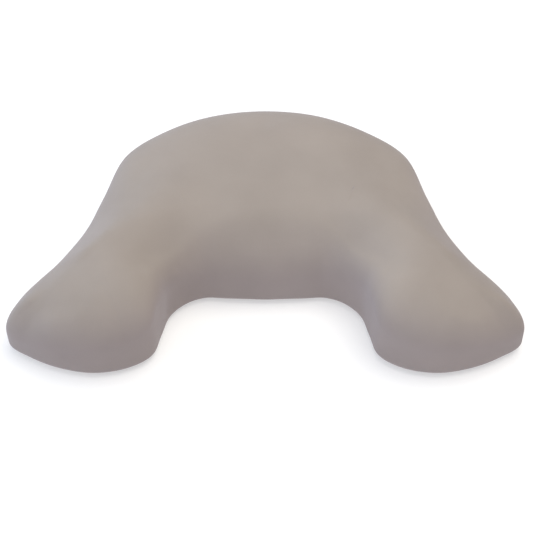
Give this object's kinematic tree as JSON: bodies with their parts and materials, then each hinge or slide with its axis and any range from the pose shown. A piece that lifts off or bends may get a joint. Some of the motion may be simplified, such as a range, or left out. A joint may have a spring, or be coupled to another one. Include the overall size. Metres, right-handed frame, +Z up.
{
  "type": "neck traction pillow",
  "caption": "Bow-shaped contoured foam neck traction pillow with an arched neck cradle, two splayed wings and a removable zipped knit cover.",
  "frame": {"origin": "on the table, under the middle of the pillow's box", "axes": "+X to the user's left wing along the longest side, +Y from the neck arch to the domed back edge, +Z up"},
  "size_m": [0.323, 0.19, 0.0645],
  "materials": {
    "cover_knit": "fine brushed knit, matte taupe",
    "base_fabric": "plain woven underside cloth, matte",
    "liner_cloth": "thin stretch jersey, off-white",
    "soft_foam": "slow-recovery polyurethane foam, open cell, cream",
    "firm_foam": "firm polyurethane foam, open cell, pale grey",
    "zip_tape": "woven polyester tape",
    "zip_teeth": "nylon coil, satin",
    "zip_metal": "die-cast, plated, satin",
    "seam_thread": "polyester overlock thread",
    "label_satin": "blank woven satin label"
  },
  "bodies": {
    "pillow": {"cover_shell": "cover_knit", "base_panel": "base_fabric", "base_seam_thread": "seam_thread", "inner_liner": "liner_cloth", "core_firm_base": "firm_foam", "core_soft_top": "soft_foam", "zip_tape_upper": "zip_tape", "zip_tape_lower": "zip_tape", "zip_teeth_upper": "zip_teeth", "zip_teeth_lower": "zip_teeth", "zip_top_stop_upper": "zip_metal", "zip_top_stop_lower": "zip_metal", "zip_bottom_stop": "zip_metal", "zip_end_tab_left": "cover_knit", "zip_end_tab_right": "cover_knit", "care_label": "label_satin"},
    "slider": {"zip_slider": "zip_metal"},
    "pull": {"zip_pull": "zip_metal"}
  },
  "joints": [
    {"name": "zip_slider_travel", "type": "hinge", "parent": "pillow", "child": "slider", "pos_m": [0, -0.0375, 0.019], "axis": [0, 0, 1], "range_deg": [0, 72]},
    {"name": "zip_pull_swing", "type": "hinge", "parent": "slider", "child": "pull", "pos_m": [0.07903, 0.07127, 0.019], "axis": [0, 0, -1], "range_deg": [0, 170]}
  ]
}
